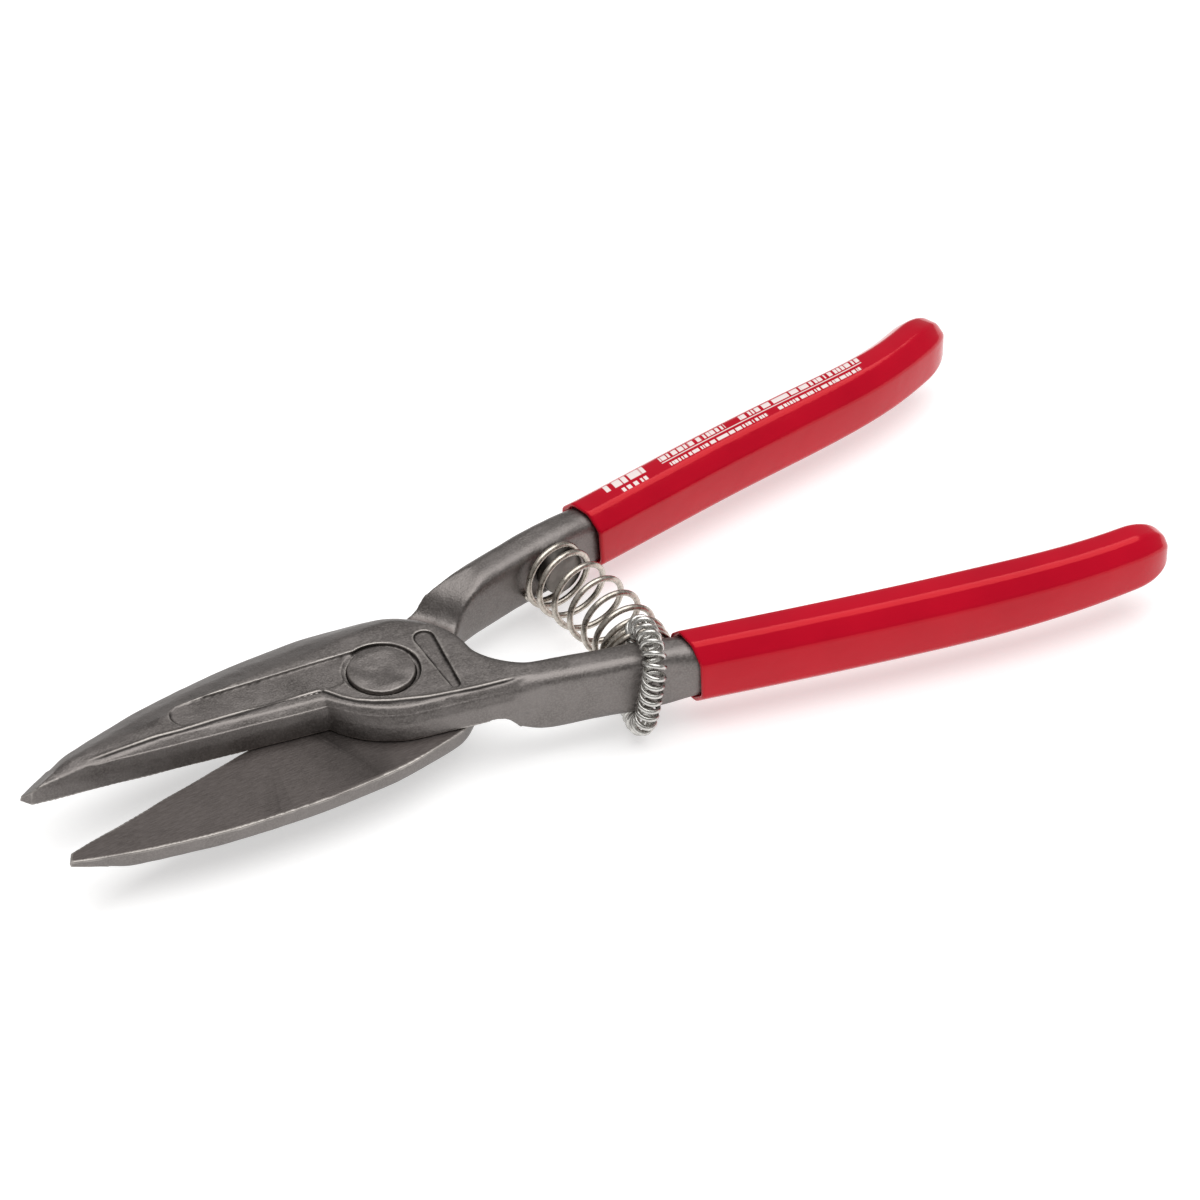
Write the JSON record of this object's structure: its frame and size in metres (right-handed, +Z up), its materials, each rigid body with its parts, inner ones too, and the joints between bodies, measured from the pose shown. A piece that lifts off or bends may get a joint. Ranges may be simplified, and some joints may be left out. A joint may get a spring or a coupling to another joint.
{
  "type": "tin snips",
  "caption": "Hand-forged straight-blade tin snips with a single round-headed pivot, a coil opening spring and dipped grips, for cutting sheet metal.",
  "frame": {"origin": "on the pivot axis, in the lower face of the pivot nut, which the snips rest on", "axes": "+Z is up along the pivot axis, from the nut to the bolt's round head. The blades point to -X and the handles to +X. The upper half's handle is on the -Y side."},
  "size_m": [0.2434, 0.0939, 0.0268],
  "materials": {
    "forged_steel": "satin",
    "plated_steel": "satin",
    "spring_wire": "bright",
    "red_dip": "gloss"
  },
  "bodies": {
    "front": {"front_half": "forged_steel", "pivot_bolt": "forged_steel", "spring_washer": "plated_steel", "pivot_nut": "plated_steel", "near_grip": "red_dip", "retaining_ring": "spring_wire", "opening_spring": "spring_wire"},
    "rear": {"rear_half": "forged_steel", "far_grip": "red_dip", "spring_peg": "plated_steel"}
  },
  "joints": [
    {"name": "pivot", "type": "hinge", "parent": "front", "child": "rear", "pos_m": [0, 0, 0.0136], "axis": [0, 0, 1], "range_deg": [-14, 5], "stiffness_Nm_per_rad": 4.5, "deforming": ["opening_spring"]}
  ]
}
